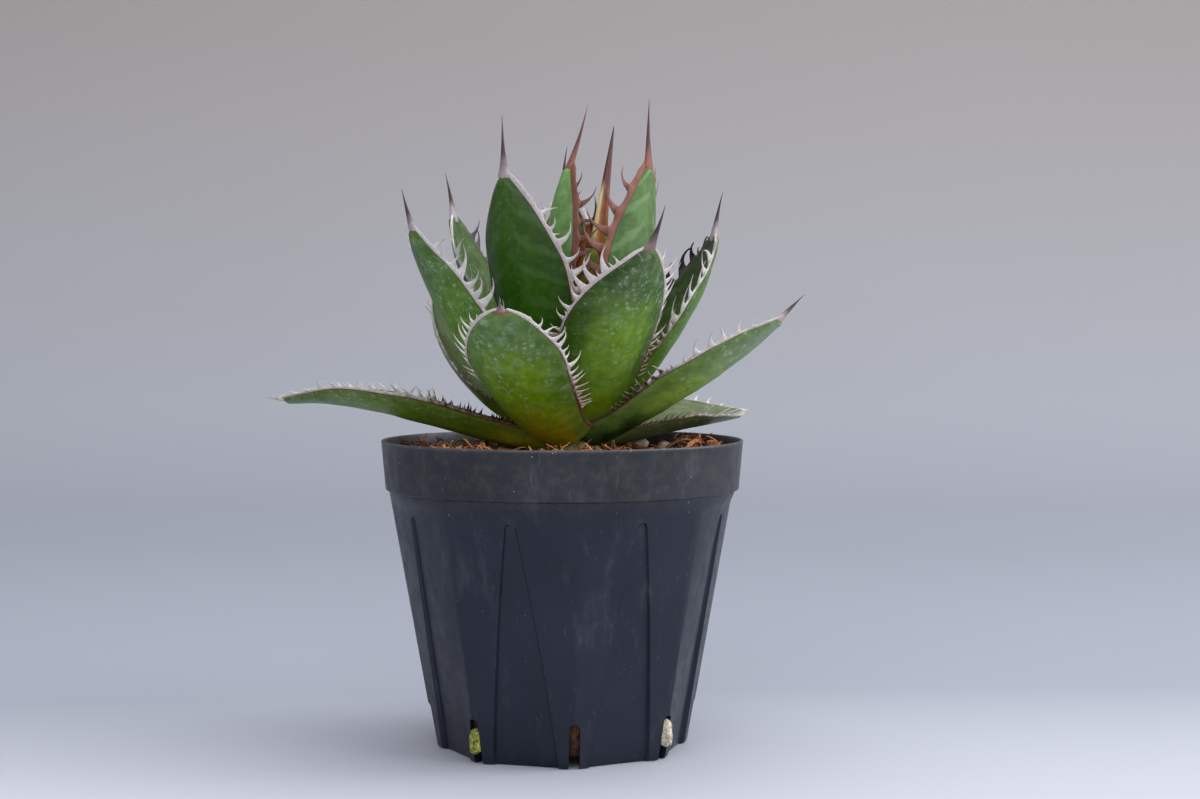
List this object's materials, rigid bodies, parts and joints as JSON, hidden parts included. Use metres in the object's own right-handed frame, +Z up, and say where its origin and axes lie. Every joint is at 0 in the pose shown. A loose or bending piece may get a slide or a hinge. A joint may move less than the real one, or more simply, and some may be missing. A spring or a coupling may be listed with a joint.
{
  "type": "potted agave",
  "caption": "Young agave rosette with toothed leaves and long end spines, growing in a round tapered black plastic nursery pot with drainage slits round its foot.",
  "frame": {"origin": "centre of the pot's flat underside pad, on the surface the pot stands on", "axes": "+Z up out of the pot; -Y towards the front of the plant, where the broadest low leaf leans out; +X to the right of the front view"},
  "size_m": [0.1765, 0.1225, 0.2134],
  "materials": {
    "pot": "matte injection-moulded charcoal plastic",
    "soil": "damp coconut husk chips and fibres",
    "stem": "pale green-brown short stem",
    "leaf": "waxy green leaf with pale horny toothed margin and dark end spine",
    "young_leaf": "thin yellow-green young leaf with red-brown edge",
    "bud": "red-brown furled bud with a pale yellow streak",
    "pumice": "rough creamy pumice",
    "bark": "orange-brown husk chip",
    "root": "dry thin root",
    "moss": "yellow-green moss"
  },
  "bodies": {
    "root": {"pot": "pot", "soil": "soil", "stem": "stem", "leaf_01": "leaf", "leaf_02": "leaf", "leaf_03": "leaf", "leaf_04": "leaf", "leaf_05": "leaf", "leaf_06": "leaf", "leaf_07": "leaf", "leaf_08": "leaf", "leaf_09": "leaf", "leaf_10": "leaf", "leaf_11": "leaf", "leaf_12": "leaf", "leaf_13": "leaf", "leaf_14": "leaf", "young_leaf_1": "young_leaf", "young_leaf_2": "young_leaf", "bud": "bud", "pumice_1": "pumice", "pumice_2": "pumice", "pumice_3": "pumice", "pumice_4": "pumice", "pumice_5": "pumice", "pumice_6": "pumice", "bark_1": "bark", "bark_2": "bark", "bark_3": "bark", "bark_4": "bark", "bark_5": "bark", "bark_6": "bark", "root_1": "root", "root_2": "root", "root_3": "root", "slit_moss": "moss", "slit_pumice": "pumice"}
  },
  "joints": []
}
